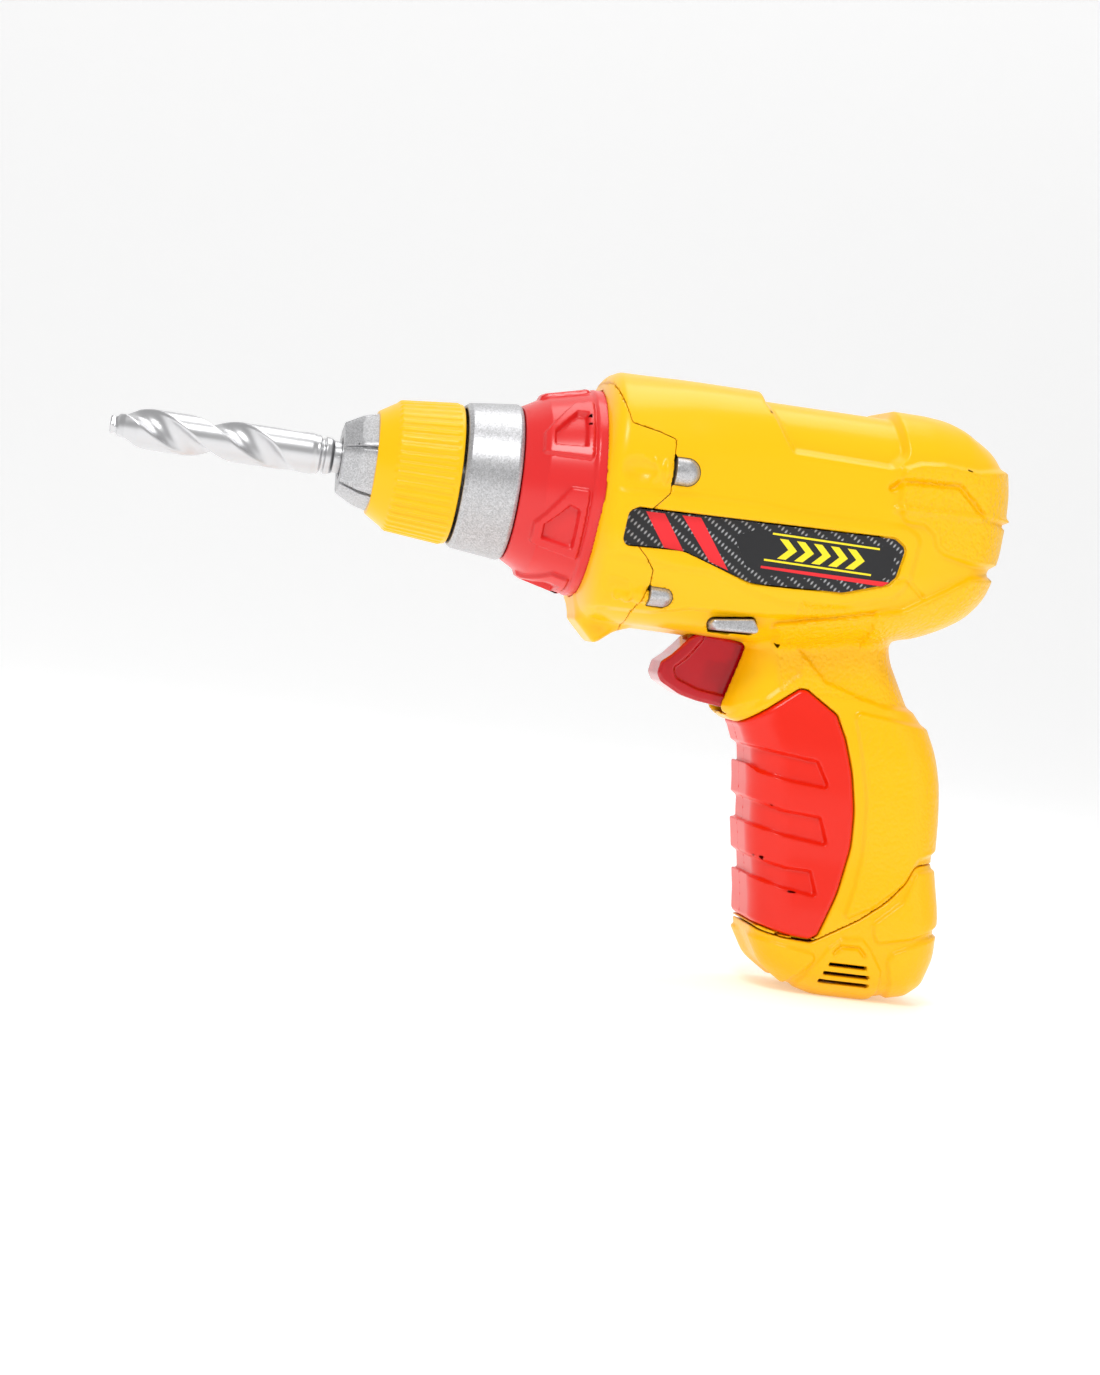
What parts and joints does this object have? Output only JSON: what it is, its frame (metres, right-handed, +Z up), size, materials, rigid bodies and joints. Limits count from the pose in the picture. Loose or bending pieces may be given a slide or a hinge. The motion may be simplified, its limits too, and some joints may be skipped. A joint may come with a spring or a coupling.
{
  "type": "toy power drill",
  "caption": "Yellow pistol-grip toy drill with a silver twist bit in a turning chuck, clear red light ring and trigger, orange grip.",
  "frame": {"origin": "middle of the base's flat resting face, in the mid-plane", "axes": "+X along the spindle axis from the bit towards the rear, +Z up away from the base, +Y to the right-hand flank, seen by the user"},
  "size_m": [0.2414, 0.062, 0.1577],
  "materials": {
    "yellow_shell": "semi-gloss, fine grain on the rear panels",
    "orange_grip": "soft matte",
    "clear_red": "translucent, glossy",
    "silver_plastic": "metallic-flake, satin",
    "label_black": "printed film, gloss",
    "white_nylon": "matte",
    "black_plastic": "matte",
    "steel": "satin",
    "brass_bush": "turned",
    "motor_steel": "plated",
    "board_green": "matte",
    "wire_skin": "satin",
    "lamp_clear": "clear",
    "cell_wrap": "satin film"
  },
  "bodies": {
    "housing": {"housing_left": "yellow_shell", "housing_right": "yellow_shell", "nose_cover": "yellow_shell", "battery_cover": "yellow_shell", "grip_left": "orange_grip", "grip_right": "orange_grip", "label_left": "label_black", "label_right": "label_black", "housing_screws": "steel", "studs_upper": "silver_plastic", "studs_lower": "silver_plastic", "silver_band": "silver_plastic", "light_ring": "clear_red", "trigger_spring": "steel", "trigger_switch": "black_plastic", "direction_switch": "black_plastic", "battery_cells": "cell_wrap", "battery_contacts": "motor_steel", "battery_tray": "black_plastic", "circuit_board": "board_green", "board_components": "black_plastic", "speaker": "black_plastic", "wires": "wire_skin", "speaker_lead": "wire_skin", "lamps": "lamp_clear", "lamp_board": "board_green", "bearing_bush": "brass_bush", "gearbox_plate_front": "black_plastic", "gearbox_frame": "black_plastic", "gearbox_screws": "steel", "idler_axle": "steel", "motor_can": "motor_steel", "motor_end_bell": "black_plastic", "motor_terminals": "brass_bush"},
    "chuck": {"chuck_nose": "silver_plastic", "chuck_sleeve": "yellow_shell", "spindle": "steel", "output_gear": "white_nylon"},
    "bit": {"twist_bit": "silver_plastic"},
    "idler": {"idler_gear": "white_nylon"},
    "rotor": {"motor_rotor": "steel", "motor_pinion": "white_nylon"},
    "trigger_body": {"trigger": "clear_red"},
    "direction_body": {"direction_button": "silver_plastic"}
  },
  "joints": [
    {"name": "chuck_spin", "type": "hinge", "parent": "housing", "child": "chuck", "pos_m": [-0.153, 0, 0.1245], "axis": [1, 0, 0], "continuous": true},
    {"name": "bit_pull", "type": "slide", "parent": "chuck", "child": "bit", "axis": [-1, 0, 0], "range_m": [0, 0.03]},
    {"name": "idler_spin", "type": "hinge", "parent": "housing", "child": "idler", "pos_m": [-0.0705, 0, 0.1095], "axis": [1, 0, 0], "continuous": true},
    {"name": "rotor_spin", "type": "hinge", "parent": "housing", "child": "rotor", "pos_m": [-0.062, 0, 0.122], "axis": [1, 0, 0], "continuous": true},
    {"name": "trigger_slide", "type": "slide", "parent": "housing", "child": "trigger_body", "axis": [0.9945, 0, -0.1045], "range_m": [0, 0.006], "stiffness_N_per_m": 250, "springref_m": -0.004, "deforming": ["trigger_spring"]},
    {"name": "direction_slide", "type": "slide", "parent": "housing", "child": "direction_body", "axis": [0, 1, 0], "range_m": [0, 0.004]}
  ],
  "couplings": [
    {"joint": "idler_spin", "follows": "chuck_spin", "ratio": -4},
    {"joint": "rotor_spin", "follows": "chuck_spin", "ratio": 16}
  ]
}
